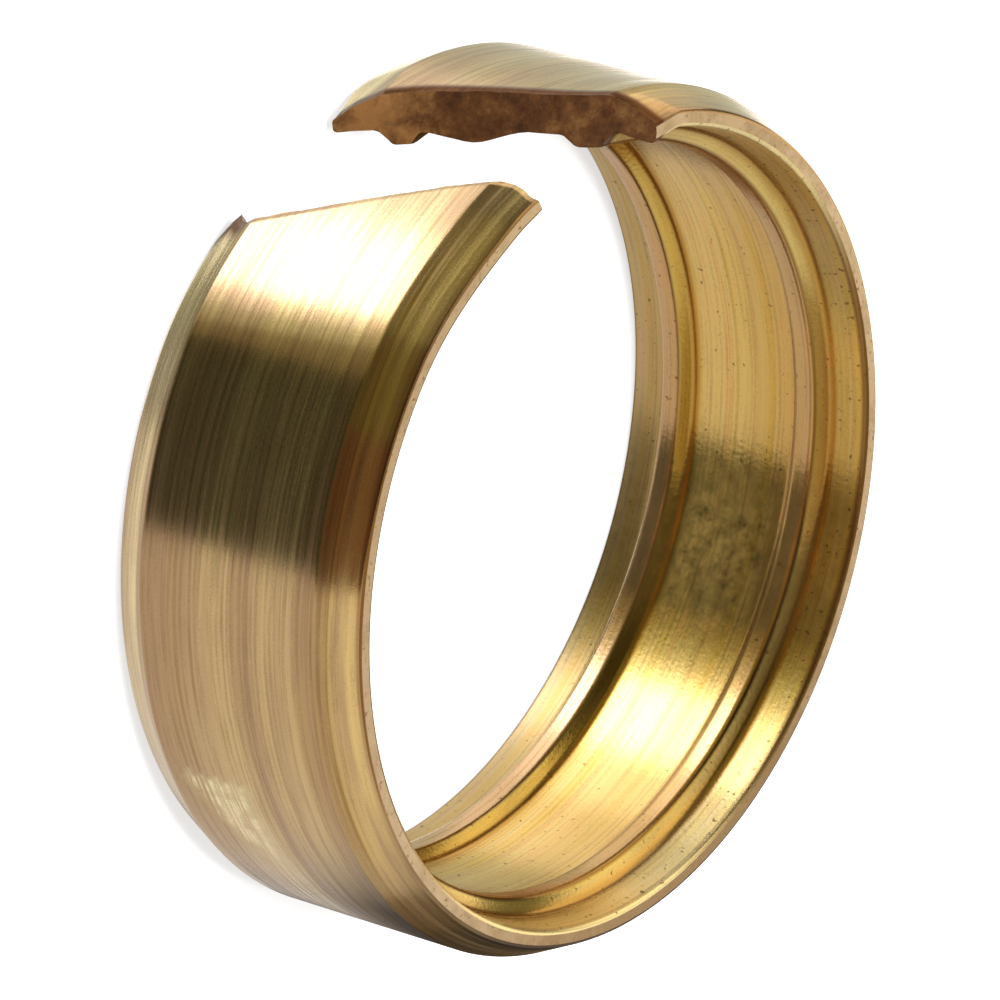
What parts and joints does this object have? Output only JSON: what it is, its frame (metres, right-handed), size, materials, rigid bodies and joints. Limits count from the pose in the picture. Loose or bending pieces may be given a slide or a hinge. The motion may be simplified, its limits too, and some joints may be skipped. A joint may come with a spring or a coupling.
{
  "type": "compression olive",
  "caption": "Split brass compression olive: a short turned ring with sloping outer ends, gripping ribs in its bore and a slanted slit, which a nut squeezes onto a pipe.",
  "frame": {"origin": "centre of the ring, on the end face it lies on", "axes": "+Z along the ring's axis, up from the end face it lies on; the middle of the slit lies halfway between -X and -Y"},
  "size_m": [0.0234, 0.0234, 0.0078],
  "materials": {
    "turned_brass": "turned bright, with sheared slit ends"
  },
  "bodies": {
    "root": {"olive": "turned_brass"}
  },
  "joints": []
}
